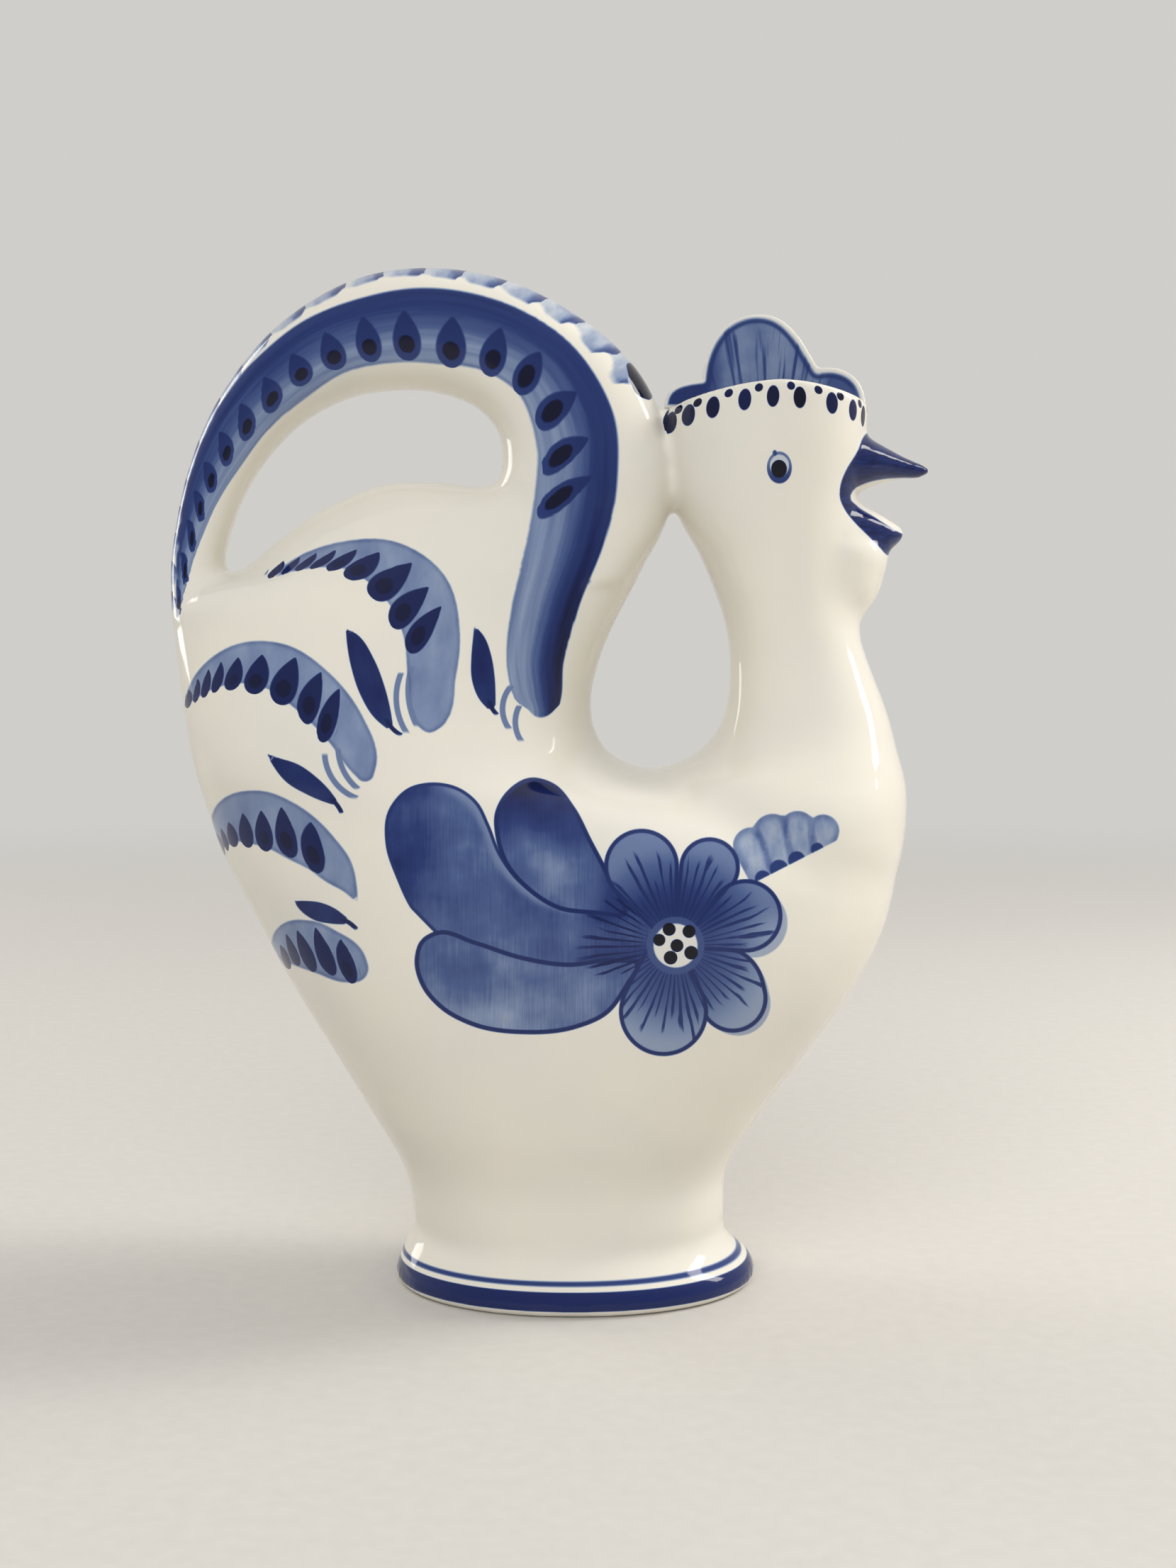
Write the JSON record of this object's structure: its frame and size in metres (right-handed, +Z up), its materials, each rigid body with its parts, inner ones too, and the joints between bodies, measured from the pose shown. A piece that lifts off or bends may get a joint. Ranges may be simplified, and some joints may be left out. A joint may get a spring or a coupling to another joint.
{
  "type": "ceramic carafe",
  "caption": "Rooster-shaped glazed ceramic carafe on a flared oval foot, with an arched tail as its handle and a comb that lifts out with the stopper.",
  "frame": {"origin": "on the surface that the carafe stands on, under the middle of its length", "axes": "+Z up, +X from the tail to the beak, +Y to the rooster's left"},
  "size_m": [0.1864, 0.101, 0.2508],
  "materials": {
    "ivory_glaze": "gloss",
    "cobalt_glaze": "gloss",
    "comb_glaze": "gloss"
  },
  "bodies": {
    "carafe": {"foot_ring": "ivory_glaze", "belly_shell": "ivory_glaze", "neck_shell": "ivory_glaze", "tail_handle": "ivory_glaze", "upper_beak": "cobalt_glaze", "lower_beak": "cobalt_glaze", "wattle": "ivory_glaze"},
    "stopper": {"stopper_plug": "ivory_glaze", "comb": "comb_glaze"}
  },
  "joints": [
    {"name": "stopper_lift", "type": "slide", "parent": "carafe", "child": "stopper", "axis": [0, 0, 1], "range_m": [0, 0.06]}
  ]
}
